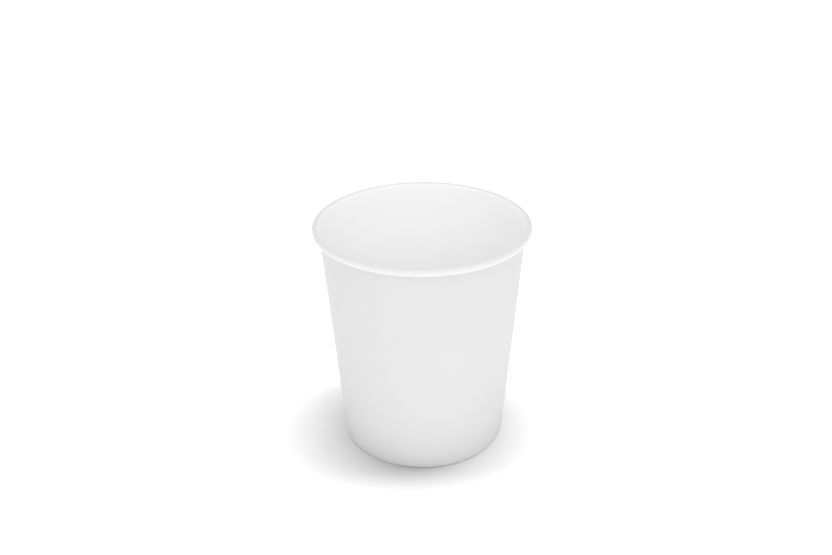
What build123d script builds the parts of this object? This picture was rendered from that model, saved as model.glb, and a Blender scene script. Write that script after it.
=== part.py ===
from build123d import *
import math
import os

# A single-wall paper cup for about 200 ml, made of two pieces of coated board.
#   side_wall    one fan-shaped blank, wound into a cone and lapped at a side seam, with its
#                top edge rolled outwards into the rim and its lower edge folded up inside
#   bottom_disc  a round panel whose edge is turned down into a skirt, which the fold grips
# The origin is the centre of the foot ring, on the table. +Z is up, and the seam is on +X.
# Lengths are in millimetres and angles in degrees.

# Sizes over the outside
rim_diameter = 73.0
foot_diameter = 56.0  # of the wall's slope, carried down to the table
cup_height = 79.5

# Side wall
wall_board = 0.30
curl_diameter = 2.6  # section of the rolled rim
tail_diameter = 1.4  # section of the roll's last turn, inside the first
tail_turn = 170.0
fold_height = 5.9  # cut edge of the fold, above the table
foot_flat = 0.2  # width of the level ring that the cup stands on

# Side seam
lap_width = 7.0
lap_ramp = 1.8  # the outer layer comes down to the wall's own face over this width
lap_low = 0.4  # the outer layer starts above the foot's rounded edge
groove_low = 7.2  # the groove along the inner cut edge starts above the bottom panel

# Bottom disc
bottom_board = 0.27
bottom_rise = 6.5  # underside of the panel, above the table
skirt_low = 0.5  # cut edge of the skirt, above the table
shoulder_radius = 0.6  # middle of the board, where the panel turns down

# The wall slopes in a straight line from the foot, and runs tangent into the curl.
foot_radius = foot_diameter / 2
curl_centre = Vector((rim_diameter - curl_diameter) / 2, cup_height - curl_diameter / 2)
centre_lean = math.degrees(math.atan2(curl_centre.X - foot_radius, curl_centre.Y))
centre_reach = math.hypot(curl_centre.X - foot_radius, curl_centre.Y)
taper = centre_lean - math.degrees(math.asin((curl_diameter / 2 - wall_board) / centre_reach))
lean = Vector(math.sin(math.radians(taper)), math.cos(math.radians(taper)))
uphill = 90 - taper  # heading of the wall, from the radius

# Layers at the foot, as depths of their middles below the wall's outer face
wall_depth = wall_board / 2
skirt_depth = wall_board + bottom_board / 2
fold_depth = wall_board + bottom_board + wall_board / 2
fold_radius = (fold_depth - wall_depth - foot_flat * lean.Y) / 2

# Radii of the board's middle in the two turns of the roll
curl_radius = (curl_diameter - wall_board) / 2
tail_radius = (tail_diameter - wall_board) / 2


def wall_radius(z, depth=0.0):
    """Radius at height z of the cone that lies depth below the wall's outer face."""
    return foot_radius + (z * lean.X - depth) / lean.Y


def slope(z_low, z_high):
    """Length along the wall between two heights."""
    return (z_high - z_low) / lean.Y


def curl_start(radius):
    """Height at which a layer of the wall runs into the curl, at this radius in it."""
    return curl_centre.Y + radius * lean.X


def sheet_section(start, heading, moves, thickness):
    """Section of a bent sheet, from its middle line. A move is (length, 0) for a straight
    run, or (radius, turn) for an arc, where a positive turn is to the left."""
    faces = []
    ends = []
    for side in (1, -1):
        way = heading
        point = Vector(start) + side * thickness / 2 * Vector(0, 1).rotate(Axis.Z, way)
        ends.append([point])
        for size, turn in moves:
            ahead = Vector(1, 0).rotate(Axis.Z, way)
            if turn:
                radius = size - side * math.copysign(thickness / 2, turn)
                faces.append(JernArc(point, ahead, radius, turn))
            else:
                faces.append(Line(point, point + size * ahead))
            point = faces[-1] @ 1
            way += turn
        ends[-1].append(point)
    cut_edges = [Line(left, right) for left, right in zip(*ends)]
    return Plane.XZ * make_face(faces + cut_edges)


def turned(section):
    """Solid of revolution, begun at the back, away from the side seam."""
    return Rot(0, 0, 180) * revolve(section, Axis.Z)


def along_seam(outline, z_low, z_high):
    """Prism that leans with the wall at the side seam. Its outline is given in plan at the
    table, so that the wall's outer face crosses the X axis at foot_radius."""
    base = Pos(z_low * lean.X / lean.Y, 0, z_low) * make_face(Polyline(*outline, close=True))
    return extrude(base, slope(z_low, z_high), dir=(lean.X, 0, lean.Y))


def ramp_plan(depth_start, depth_end):
    """Three points in plan along the flat ramp beside the lap: short of its start, at its
    start, and past its end. The ramp goes from one depth below the wall's outer face to
    another, and is set out at half the cup's height."""
    middle = cup_height / 2
    shift = wall_radius(middle) - foot_radius
    start_y = -lap_width / 2
    end_y = start_y - lap_ramp
    start_x = math.sqrt(wall_radius(middle, depth_start) ** 2 - start_y**2) - shift
    end_x = math.sqrt(wall_radius(middle, depth_end) ** 2 - end_y**2) - shift
    start = Vector(start_x, start_y)
    step = Vector(end_x, end_y) - start
    return start - step, start, start + 3 * step


def rolled_cone():
    """The wound blank without its lap: fold, foot ring, wall and rolled rim, in one sheet."""
    foot_turn_low = wall_board / 2 + fold_radius
    fold_length = slope(foot_turn_low + fold_radius * lean.X, fold_height)
    wall_length = slope(foot_turn_low - fold_radius * lean.X, curl_start(curl_radius))
    moves = [
        (fold_length, 0),
        (fold_radius, 180 - uphill),
        (foot_flat, 0),
        (fold_radius, uphill),
        (wall_length, 0),
        (curl_radius, -180 - uphill),
        (tail_radius, -tail_turn),
    ]
    start = (wall_radius(fold_height, fold_depth), fold_height)
    return turned(sheet_section(start, uphill - 180, moves, wall_board))


def lap_on_wall():
    """Outer layer of the seam on the wall, with a cut edge on one side and a ramp on the other."""
    top = curl_start(curl_radius - wall_board)
    start = (wall_radius(lap_low, -wall_depth), lap_low)
    layer = turned(sheet_section(start, uphill, [(slope(lap_low, top), 0)], wall_board))
    short, _, past = ramp_plan(-wall_board, 0)
    cut_edge = [(foot_radius - lap_ramp, lap_width / 2), (foot_radius + lap_ramp, lap_width / 2)]
    return layer & along_seam([*cut_edge, short, past], 0, cup_height)


def lap_in_roll():
    """The same layer carried round inside the roll."""
    moves = [(curl_radius - wall_board, -180 - uphill), (tail_radius - wall_board, -tail_turn)]
    z = curl_start(curl_radius - wall_board)
    layer = turned(sheet_section((wall_radius(z, -wall_depth), z), uphill, moves, wall_board))
    return layer & Pos(rim_diameter / 2, 0, cup_height) * Box(rim_diameter, lap_width, lap_width)


def seam_groove():
    """Wedge of air along the inner cut edge, where the outer layer climbs over it."""
    _, start, past = ramp_plan(0, wall_board)
    return along_seam([start, past, (past.X, start.Y)], groove_low, curl_centre.Y)


def make_side_wall():
    return rolled_cone() + lap_on_wall() + lap_in_roll() - seam_groove()


def make_bottom_disc():
    """Panel, shoulder and skirt, drawn from a round blank. The panel's section ends on +Z."""
    panel_middle = bottom_rise + bottom_board / 2
    skirt_top = panel_middle - shoulder_radius * (1 + lean.X)
    panel_radius = wall_radius(skirt_top, skirt_depth) - shoulder_radius * lean.Y
    moves = [
        (slope(skirt_low, skirt_top), 0),
        (shoulder_radius, 180 - uphill),
        (panel_radius, 0),
    ]
    start = (wall_radius(skirt_low, skirt_depth), skirt_low)
    return turned(sheet_section(start, uphill, moves, bottom_board))


os.makedirs("parts", exist_ok=True)
for node, make in {"side_wall": make_side_wall, "bottom_disc": make_bottom_disc}.items():
    piece = make()
    export_step(piece, f"parts/{node}.step")
    box = piece.bounding_box()
    print(node, "volume", round(piece.volume, 1), "low", box.min, "high", box.max)
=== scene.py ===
import math

import bmesh
import bpy
from mathutils import Matrix, Vector, noise


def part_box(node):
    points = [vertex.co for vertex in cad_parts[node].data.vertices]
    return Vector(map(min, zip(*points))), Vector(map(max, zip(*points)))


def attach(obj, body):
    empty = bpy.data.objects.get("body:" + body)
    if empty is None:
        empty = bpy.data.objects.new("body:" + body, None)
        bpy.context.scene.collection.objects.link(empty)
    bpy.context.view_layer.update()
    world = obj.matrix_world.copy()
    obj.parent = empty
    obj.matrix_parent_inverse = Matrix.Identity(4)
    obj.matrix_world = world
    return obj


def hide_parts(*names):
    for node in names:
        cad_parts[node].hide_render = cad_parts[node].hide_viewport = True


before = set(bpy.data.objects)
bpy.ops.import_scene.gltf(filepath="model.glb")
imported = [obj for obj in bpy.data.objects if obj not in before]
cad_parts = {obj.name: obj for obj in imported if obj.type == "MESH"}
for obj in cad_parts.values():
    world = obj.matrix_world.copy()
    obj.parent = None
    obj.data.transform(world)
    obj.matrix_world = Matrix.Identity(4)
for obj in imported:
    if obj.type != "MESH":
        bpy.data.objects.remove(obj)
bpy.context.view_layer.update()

print("frame loaded:", sorted(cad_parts))

mm = 0.001
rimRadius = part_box("side_wall")[1].x
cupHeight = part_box("side_wall")[1].z
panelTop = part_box("bottom_disc")[1].z
creaseAngle = math.radians(50)    # sharper bends than this keep a crisp line


def smooth(low, high, value):
    # 0 below low, 1 above high, and an even climb between
    share = min(max((value - low) / (high - low), 0.0), 1.0)
    return share * share * (3 - 2 * share)


def bendSection(bm, start, heading, moves):
    # a chain of edges in the XZ plane along the middle of the board
    # a move is (length, 0, steps) for a straight run, or (radius, turn, steps) for an arc
    tip = bm.verts.new((start[0], 0, start[1]))
    for size, turn, steps in moves:
        ahead = Vector((math.cos(heading), 0, math.sin(heading)))
        if turn:
            left = Vector((-ahead.z, 0, ahead.x))
            centre = tip.co + left * math.copysign(size, turn)
            made = bmesh.ops.spin(bm, geom=[tip], cent=centre, axis=(0, -1, 0),
                                  angle=turn, steps=steps)["geom_last"]
            tip = next(part for part in made if isinstance(part, bmesh.types.BMVert))
            heading += turn
            continue
        for step in range(steps):
            tip = bmesh.ops.extrude_vert_indiv(bm, verts=[tip])["verts"][0]
            bmesh.ops.translate(bm, verts=[tip], vec=ahead * size / steps)


def measureSection(bm):
    # along is the distance from the section's start, facing the direction of its right-hand side
    along = bm.verts.layers.float.new("along")
    facing = bm.verts.layers.float.new("facing")
    bm.verts.ensure_lookup_table()
    chain = list(bm.verts)
    for before, vert in zip([chain[0]] + chain, chain):
        vert[along] = before[along] + (vert.co - before.co).length
    for before, vert, after in zip([chain[0]] + chain, chain, chain[1:] + [chain[-1]]):
        run = after.co - before.co
        vert[facing] = math.atan2(run.z, run.x) - math.pi / 2


def finishSheet(bm, name, board, materials):
    # gives the sheet its thickness, with one finish each for its front, its back and its cut edges
    mesh = bpy.data.meshes.new(name)
    bm.to_mesh(mesh)
    bm.free()
    piece = bpy.data.objects.new(name, mesh)
    bpy.context.scene.collection.objects.link(piece)
    for material in materials:
        mesh.materials.append(material)
    solidify = piece.modifiers.new("board", "SOLIDIFY")
    solidify.thickness = board
    solidify.offset = 0
    solidify.use_even_offset = True
    solidify.material_offset = 1
    solidify.material_offset_rim = 2
    solid = piece.evaluated_get(bpy.context.evaluated_depsgraph_get())
    thick = bpy.data.meshes.new_from_object(solid)
    piece.modifiers.remove(solidify)
    piece.data = thick
    thick.name = name
    thick.shade_smooth()
    thick.set_sharp_from_angle(angle=creaseAngle)
    print(name, len(thick.polygons), "faces")
    return piece


class Wire:
    # a socket of a material, so that sums of sockets are written as sums
    def __init__(self, tree, socket=None):
        self.tree = tree
        self.socket = socket

    def node(self, kind, settings=(), inputs=(), output=0):
        made = self.tree.nodes.new("ShaderNode" + kind)
        for setting, value in dict(settings).items():
            setattr(made, setting, value)
        for socket, value in dict(inputs).items():
            if isinstance(value, Wire):
                self.tree.links.new(value.socket, made.inputs[socket])
            else:
                made.inputs[socket].default_value = value
        return Wire(self.tree, made.outputs[output])

    def maths(self, operation, first, second):
        return self.node("Math", {"operation": operation}, {0: first, 1: second})

    def __add__(self, other):
        return self.maths("ADD", self, other)

    def __sub__(self, other):
        return self.maths("SUBTRACT", self, other)

    def __rsub__(self, other):
        return self.maths("SUBTRACT", other, self)

    def __mul__(self, other):
        return self.maths("MULTIPLY", self, other)

    __radd__ = __add__
    __rmul__ = __mul__


def newMaterial(name):
    material = bpy.data.materials.new(name)
    material.use_nodes = True
    return material, Wire(material.node_tree)


# each grain's lumps: their size, how closely they lie along X, Y and Z, and their detail
grains = {
    "clouds": {"size": 6 * mm, "stretch": (1, 1, 1), "detail": 3.0},
    "fibres": {"size": 0.22 * mm, "stretch": (1, 1, 0.35), "detail": 4.0},
    "pits": {"size": 0.07 * mm, "stretch": (1, 1, 1), "detail": 2.0},
}
fibreRelief = 0.7                 # fibres' share of the relief, with pits for the rest

boardFinish = {
    "outside": {
        "colour": (0.665, 0.668, 0.665), "cloudy": 0.02, "fibre": 0.02,
        "roughness": 0.56, "roughnessRange": 0.12, "relief": 0.006 * mm, "gloss": 0.35,
    },
    "inside": {
        # painted light: the inside is the same white board as the outside, but its colour is made far
        # lighter to stand in for light bounced round inside the cup
        "colour": (0.96, 0.963, 0.96), "cloudy": 0.015, "fibre": 0.012,
        "roughness": 0.40, "roughnessRange": 0.10, "relief": 0.005 * mm, "gloss": 0.45,
        "rollShade": (0.77, 0.772, 0.77),    # painted shade: the inside board made darker over the rolled rim, which takes more light than the cup's hollow
    },
    "bare": {
        "colour": (0.80, 0.80, 0.785), "cloudy": 0.03, "fibre": 0.05,
        "roughness": 0.85, "roughnessRange": 0.10, "relief": 0.010 * mm, "gloss": 0.2,
    },
    "cutEdge": {
        "colour": (0.76, 0.755, 0.735), "cloudy": 0.04, "fibre": 0.12,
        "roughness": 0.95, "roughnessRange": 0.05, "relief": 0.015 * mm, "gloss": 0.1,
    },
}
rollShadeFrom = 2.5 * mm         # in from the rim's widest, where the roll's painted shade begins
rollShadeTo = 1.6 * mm           # and where it is full


def grain(wire, size, stretch, detail):
    # noise about 0 whose lumps are about this size, in metres
    place = wire.node("TexCoord", output="Object")
    scaled = wire.node("Mapping", {}, {"Vector": place, "Scale": [part / size for part in stretch]})
    return wire.node("TexNoise", {}, {"Vector": scaled, "Scale": 1.0, "Detail": detail}) - 0.5


def blendColours(wire, share, first, second):
    inputs = {"Factor": share, 6: first, 7: second}
    return wire.node("Mix", {"data_type": "RGBA"}, inputs, output=2)


# darkens the inside board over the rolled rim: painted shade, set by radius
def shadeRoll(wire, colour, rollShadeColour):
    place = wire.node("TexCoord", output="Object")
    level = wire.node("VectorMath", {"operation": "MULTIPLY"}, {0: place, 1: (1, 1, 0)})
    radius = wire.node("VectorMath", {"operation": "LENGTH"}, {0: level}, output=1)
    edges = {"From Min": rimRadius - rollShadeFrom, "From Max": rimRadius - rollShadeTo}
    rollShade = wire.node("MapRange", {}, {"Value": radius, **edges})
    return blendColours(wire, rollShade, colour, (*rollShadeColour, 1))


def boardMaterial(name, finish):
    material, wire = newMaterial(name)
    shader = material.node_tree.nodes["Principled BSDF"]
    clouds = grain(wire, **grains["clouds"])
    fibres = grain(wire, **grains["fibres"])
    pits = grain(wire, **grains["pits"])
    shade = clouds * finish["cloudy"] + fibres * finish["fibre"] + 0.5    # 0.5 is the board's own colour
    dark = [part * 0.5 for part in finish["colour"]] + [1]
    light = [part * 1.5 for part in finish["colour"]] + [1]
    colour = blendColours(wire, shade, dark, light)
    # painted shade over the rolled rim
    if "rollShade" in finish:
        colour = shadeRoll(wire, colour, finish["rollShade"])
    rough = fibres * finish["roughnessRange"] + clouds * finish["roughnessRange"] + finish["roughness"]
    height = fibres * fibreRelief + pits * (1 - fibreRelief)
    bump = wire.node("Bump", {}, {"Height": height, "Distance": finish["relief"], "Strength": 1.0})
    links = material.node_tree.links
    links.new(colour.socket, shader.inputs["Base Color"])
    links.new(rough.socket, shader.inputs["Roughness"])
    links.new(bump.socket, shader.inputs["Normal"])
    shader.inputs["Specular IOR Level"].default_value = finish["gloss"]
    return material


finishes = {name: boardMaterial(name, finish) for name, finish in boardFinish.items()}
print("finishes made:", ", ".join(finishes))


wall = {
    "board": 0.30 * mm,
    "footRadius": 28.0 * mm,      # of the wall's slope, carried down to the table
    "curl": 2.6 * mm,             # section of the rolled rim
    "tail": 1.4 * mm,             # section of the roll's last turn
    "tailTurn": math.radians(170),
    "foldHeight": 5.9 * mm,
    "footFlat": 0.2 * mm,
    "skirtBoard": 0.27 * mm,      # board of the bottom disc, held in the fold
    "lap": 7.0 * mm,
    "lapStraight": (0.5, 1.5),    # radians from the seam over which the wall stops following its lap
    "ramp": 2.2 * mm,             # the outer layer climbs over the inner one along this
    "layerGap": 0.31 * mm,        # from the middle of one layer to the middle of the next
    "rollSqueeze": 0.35,          # share of that gap lost where the two layers are rolled together
    "pressedFrom": 0.3 * mm,      # the layers are pressed flush from the foot ring up to here
    "pressedTo": 2.6 * mm,        # and stand fully proud from here
    "flush": 0.03 * mm,           # what stays between their faces where they are pressed
    "rings": 448,                 # steps in one full turn
    "steps": {"fold": 8, "footBend": 5, "wall": 22, "curl": 22, "tail": 9},
    "ribs": 112,                  # pressed upright ribs round the fold
    "ribDepth": 0.05 * mm,
    "ribsFromEdge": (0.2 * mm, 0.8 * mm),    # the ribs begin here, from the fold's cut edge
    "ribsToFoot": (1.2 * mm, 0.7 * mm),      # and end here, short of the foot ring
    "wander": 0.05 * mm,          # how far the wound wall strays from a true cone
    "wanderFrom": (2 * mm, 25 * mm),         # nothing strays at the foot, and all of it from here
    "wanderRound": 1.3,           # lumps of the straying, round the cup
    "wanderUp": 30 * mm,          # and up it
    "rimHold": 0.6,               # share of the straying that the rolled rim takes away
    "rimHoldRun": 12 * mm,        # along this much of the wall, below the roll
}


def coneSlope():
    # the wall is tangent to the curl, so its lean follows from the rim and the foot
    curlRadius = wall["curl"] / 2
    across = rimRadius - curlRadius - wall["footRadius"]
    up = cupHeight - curlRadius
    return math.atan2(across, up) - math.asin((curlRadius - wall["board"]) / math.hypot(across, up))


lean = coneSlope()
uphill = math.pi / 2 - lean


def coneRadius(z, depth):
    # radius at height z of the cone this deep below the wall's outer face
    return wall["footRadius"] + (z * math.sin(lean) - depth) / math.cos(lean)


def wallSection(bm):
    # returns how far along the section the foot ring's middle and the wall's end are
    foldDepth = wall["board"] * 1.5 + wall["skirtBoard"]
    foldRadius = (foldDepth - wall["board"] / 2 - wall["footFlat"] * math.cos(lean)) / 2
    ringHigh = wall["board"] / 2 + foldRadius
    curlMiddle = (wall["curl"] - wall["board"]) / 2
    tailMiddle = (wall["tail"] - wall["board"]) / 2
    curlHigh = cupHeight - wall["curl"] / 2 + curlMiddle * math.sin(lean)
    foldRun = (wall["foldHeight"] - ringHigh - foldRadius * math.sin(lean)) / math.cos(lean)
    wallRun = (curlHigh - ringHigh + foldRadius * math.sin(lean)) / math.cos(lean)
    start = (coneRadius(wall["foldHeight"], foldDepth), wall["foldHeight"])
    steps = wall["steps"]
    bendSection(bm, start, uphill - math.pi, [
        (foldRun, 0, steps["fold"]),
        (foldRadius, math.pi - uphill, steps["footBend"]),
        (wall["footFlat"], 0, 1),
        (foldRadius, uphill, steps["footBend"]),
        (wallRun, 0, steps["wall"]),
        (curlMiddle, -math.pi - uphill, steps["curl"]),
        (tailMiddle, -wall["tailTurn"], steps["tail"]),
    ])
    ringStart = foldRun + foldRadius * (math.pi - uphill)
    ringEnd = ringStart + wall["footFlat"]
    return (ringStart + ringEnd) / 2, ringEnd + foldRadius * uphill + wallRun


def windWall(bm):
    # extrudes the section round the axis, a little over one turn, and notes how far each ring has gone
    turned = bm.verts.layers.float.new("turned")
    halfLap = wall["lap"] / 2 / coneRadius(cupHeight / 2, 0)
    whole = 2 * math.pi + 2 * halfLap
    steps = round(whole / (2 * math.pi) * wall["rings"])
    turn = Matrix.Rotation(-whole / steps, 3, "Z")
    begin = Matrix.Rotation(halfLap, 3, "Z")
    bmesh.ops.rotate(bm, verts=bm.verts[:], cent=(0, 0, 0), matrix=begin)
    for vert in bm.verts:
        vert[turned] = -halfLap
    edges = bm.edges[:]
    for step in range(1, steps + 1):
        made = bmesh.ops.extrude_edge_only(bm, edges=edges)["geom"]
        edges = [part for part in made if isinstance(part, bmesh.types.BMEdge)]
        verts = [part for part in made if isinstance(part, bmesh.types.BMVert)]
        bmesh.ops.rotate(bm, verts=verts, cent=(0, 0, 0), matrix=turn)
        for vert in verts:
            vert[turned] = whole * step / steps - halfLap


def lapPush(turned, along, ringAlong, wallEnd, halfLap, ramp):
    # lays the outer layer over the inner one, and presses the two together at the foot
    apart = smooth(wall["pressedFrom"], wall["pressedTo"], abs(along - ringAlong))
    onTop = 1 - smooth(halfLap, halfLap + ramp, turned)
    beneath = smooth(2 * math.pi - halfLap - ramp, 2 * math.pi - halfLap, turned)
    squeezed = 1 - wall["rollSqueeze"] * smooth(wallEnd - 1 * mm, wallEnd + 1 * mm, along)
    return onTop * apart * wall["layerGap"] * squeezed - beneath * (1 - apart) * wall["flush"]


def ribPush(angle, along, ringAlong):
    farFromFoot, nearFoot = wall["ribsToFoot"]
    fold = 1 - smooth(ringAlong - farFromFoot, ringAlong - nearFoot, along)
    top = smooth(*wall["ribsFromEdge"], along)
    return fold * top * wall["ribDepth"] * (0.5 + 0.5 * math.cos(wall["ribs"] * angle))


def wanderPush(angle, z, along, ringAlong, wallEnd):
    # the roll strays only inwards, so the rim keeps its size
    low, high = wall["wanderFrom"]
    onWall = smooth(ringAlong + low, ringAlong + high, along)
    onWall *= 1 - wall["rimHold"] * smooth(wallEnd - wall["rimHoldRun"], wallEnd, along)
    inRoll = smooth(wallEnd - 2 * mm, wallEnd, along)
    lumps = wall["wanderRound"]
    place = Vector((math.cos(angle) * lumps, math.sin(angle) * lumps, z / wall["wanderUp"]))
    return (noise.noise(place) + inRoll) * wall["wander"] * onWall


def settleWall(bm, ringAlong, wallEnd):
    # moves each point by the lap, the ribs and the straying, and keeps the lap's width the same
    # at every height
    layers = bm.verts.layers.float
    middleRadius = coneRadius(cupHeight / 2, 0)
    halfLap = wall["lap"] / 2 / middleRadius
    ramp = wall["ramp"] / middleRadius
    for vert in bm.verts:
        along = vert[layers["along"]]
        facing = vert[layers["facing"]]
        turned = vert[layers["turned"]]
        radius = math.hypot(vert.co.x, vert.co.y)
        seam = 0.0 if turned < math.pi else 2 * math.pi
        away = turned - seam
        narrow = 1 - smooth(*wall["lapStraight"], abs(away))
        angle = -seam - away * (1 + (middleRadius / radius - 1) * narrow)
        push = lapPush(turned, along, ringAlong, wallEnd, halfLap, ramp)
        push += ribPush(angle, along, ringAlong)
        push += wanderPush(angle, vert.co.z, along, ringAlong, wallEnd)
        out = radius + push * math.cos(facing)
        vert.co = (out * math.cos(angle), out * math.sin(angle), vert.co.z + push * math.sin(facing))


def makeSideWall():
    bm = bmesh.new()
    ringAlong, wallEnd = wallSection(bm)
    measureSection(bm)
    windWall(bm)
    settleWall(bm, ringAlong, wallEnd)
    bmesh.ops.recalc_face_normals(bm, faces=bm.faces[:])
    widest = max(bm.faces, key=lambda face: face.calc_area())    # a face of the wall, not of the roll
    if widest.normal.dot(widest.calc_center_median() * Vector((1, 1, 0))) < 0:
        bmesh.ops.reverse_faces(bm, faces=bm.faces[:])
    piece = finishSheet(bm, "wound_wall", wall["board"],
                        [finishes["outside"], finishes["inside"], finishes["cutEdge"]])
    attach(piece, "root")
    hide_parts("side_wall")
    return piece


bottom = {
    "board": wall["skirtBoard"],
    "skirtLow": 0.5 * mm,
    "shoulder": 0.6 * mm,         # middle of the board, where the panel turns down
    "turns": 360,
    "steps": {"skirt": 4, "shoulder": 8, "panel": 20},
    "dish": 0.25 * mm,            # the panel's middle sags by this much
    "flatInset": 3 * mm,          # the panel's outer part, which stays level
    "pleats": 90,
    "pleatDepth": 0.03 * mm,
    "pleatRun": (1.2 * mm, 0.3 * mm),        # in and out from the shoulder's inner edge
    "pleatDrop": (1.27 * mm, 0.57 * mm),     # this far below the panel's top: none, and all of it
    "wander": 0.04 * mm,
    "wanderSize": 9 * mm,
}


def settlePanel(bm, panelRun):
    # the panel sags and wavers a little, and its edge is creased where it was drawn down
    inward, outward = bottom["pleatRun"]
    lowest, highest = bottom["pleatDrop"]
    for vert in bm.verts:
        radius = math.hypot(vert.co.x, vert.co.y)
        angle = math.atan2(vert.co.y, vert.co.x)
        flat = 1 - smooth(panelRun - bottom["flatInset"], panelRun, radius)
        sag = bottom["dish"] * (1 - (radius / panelRun) ** 2) * flat
        waver = (noise.noise(vert.co / bottom["wanderSize"]) - 0.5) * bottom["wander"] * flat
        pleat = smooth(panelRun - inward, panelRun + outward, radius)
        pleat *= smooth(panelTop - lowest, panelTop - highest, vert.co.z)
        crease = bottom["pleatDepth"] * pleat * max(0, math.cos(bottom["pleats"] * angle))
        vert.co.z += waver - sag - crease


def makeBottomDisc():
    bm = bmesh.new()
    depth = wall["board"] + bottom["board"] / 2
    panel = panelTop - bottom["board"] / 2
    skirtHigh = panel - bottom["shoulder"] * (1 + math.sin(lean))
    panelRun = coneRadius(skirtHigh, depth) - bottom["shoulder"] * math.cos(lean)
    start = (coneRadius(bottom["skirtLow"], depth), bottom["skirtLow"])
    steps = bottom["steps"]
    bendSection(bm, start, uphill, [
        ((skirtHigh - bottom["skirtLow"]) / math.cos(lean), 0, steps["skirt"]),
        (bottom["shoulder"], math.pi - uphill, steps["shoulder"]),
        (panelRun, 0, steps["panel"]),
    ])
    bmesh.ops.spin(bm, geom=bm.verts[:] + bm.edges[:], cent=(0, 0, 0), axis=(0, 0, 1),
                   angle=2 * math.pi, steps=bottom["turns"], use_merge=True)
    bmesh.ops.remove_doubles(bm, verts=bm.verts[:], dist=0.001 * mm)
    bmesh.ops.recalc_face_normals(bm, faces=bm.faces[:])
    settlePanel(bm, panelRun)
    piece = finishSheet(bm, "bottom_panel", bottom["board"],
                        [finishes["inside"], finishes["bare"], finishes["cutEdge"]])
    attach(piece, "root")
    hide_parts("bottom_disc")
    return piece


pieces = [makeSideWall(), makeBottomDisc()]


stage = {
    "floorSize": 8.0,
    "floorColour": (0.50, 0.50, 0.50),
    "floorRoughness": 0.9,
    "sky": 0.88,
    "bounces": 10,                # a white cup is lit from inside by its own walls
}

softboxes = {
    # behind and side are degrees from straight above; each box lights the pieces or the floor
    "front_box": {
        "power": 3.6, "size": (1.4, 1.0), "distance": 1.3, "behind": -48.0, "side": 8.0, "on": "pieces",
    },
    "floor_box": {
        "power": 54.0, "size": (1.3, 0.45), "distance": 1.6, "behind": 3.0, "side": 4.0, "on": "floor",
    },
}

camera = {
    "lens": 44.26,
    "sensor": 36.0,
    "near": 0.01,
    "far": 50.0,
    "distance": 356.9 * mm,       # from the middle of the cup
    "azimuth": 6.0,               # keeps the seam at the cup's edge, as seen from here
    "elevation": 29.77,
    "pan": -0.356,                # the rest aims a little off the cup's middle, in degrees
    "tilt": 2.713,
    "roll": -0.639,
}


def makeFloor():
    bm = bmesh.new()
    bmesh.ops.create_grid(bm, x_segments=1, y_segments=1, size=stage["floorSize"] / 2)
    mesh = bpy.data.meshes.new("floor")
    bm.to_mesh(mesh)
    bm.free()
    floor = bpy.data.objects.new("floor", mesh)
    bpy.context.scene.collection.objects.link(floor)
    material, _ = newMaterial("paper_sweep")
    shader = material.node_tree.nodes["Principled BSDF"]
    shader.inputs["Base Color"].default_value = (*stage["floorColour"], 1)
    shader.inputs["Roughness"].default_value = stage["floorRoughness"]
    shader.inputs["Specular IOR Level"].default_value = 0.0
    mesh.materials.append(material)
    return floor


def makeSoftbox(name, box, lit):
    data = bpy.data.lights.new(name, "AREA")
    data.shape = "RECTANGLE"
    data.size, data.size_y = box["size"]
    data.energy = box["power"]
    lamp = bpy.data.objects.new(name, data)
    bpy.context.scene.collection.objects.link(lamp)
    turn = Matrix.Rotation(math.radians(camera["azimuth"]), 4, "Z")
    turn @= Matrix.Rotation(math.radians(box["side"]), 4, "Y")
    turn @= Matrix.Rotation(math.radians(-box["behind"]), 4, "X")
    lamp.matrix_world = turn @ Matrix.Translation((0, 0, box["distance"]))
    group = bpy.data.collections.new(name + "_lights")
    for thing in lit:
        group.objects.link(thing)
    lamp.light_linking.receiver_collection = group


def makeWorld():
    world = bpy.data.worlds.new("sky")
    world.use_nodes = True
    background = world.node_tree.nodes["Background"]
    background.inputs["Color"].default_value = (1, 1, 1, 1)
    background.inputs["Strength"].default_value = stage["sky"]
    scene = bpy.context.scene
    scene.world = world
    scene.view_settings.view_transform = "Standard"
    scene.cycles.max_bounces = 2 + stage["bounces"]
    scene.cycles.diffuse_bounces = stage["bounces"]


def makeCamera():
    data = bpy.data.cameras.new("camera")
    data.sensor_width = camera["sensor"]
    data.lens = camera["lens"]
    data.clip_start = camera["near"]
    data.clip_end = camera["far"]
    eye = bpy.data.objects.new("camera", data)
    bpy.context.scene.collection.objects.link(eye)
    bpy.context.scene.camera = eye
    rise = math.radians(camera["elevation"])
    ahead = Vector((0, math.cos(rise), -math.sin(rise)))
    right = Vector((1, 0, 0))
    place = Vector((0, 0, cupHeight / 2)) - ahead * camera["distance"]
    aim = ahead + right * math.tan(math.radians(camera["pan"]))
    aim += right.cross(ahead) * math.tan(math.radians(camera["tilt"]))
    aim.normalize()
    level = aim.cross(Vector((0, 0, 1))).normalized()
    across = Matrix.Rotation(math.radians(-camera["roll"]), 3, aim) @ level
    axes = Matrix((across, across.cross(aim), -aim)).transposed().to_4x4()
    swing = Matrix.Rotation(math.radians(camera["azimuth"]), 4, "Z")
    eye.matrix_world = swing @ Matrix.Translation(place) @ axes


floor = makeFloor()
for name, box in softboxes.items():
    makeSoftbox(name, box, [floor] if box["on"] == "floor" else pieces)
makeWorld()
makeCamera()
print("stage set")
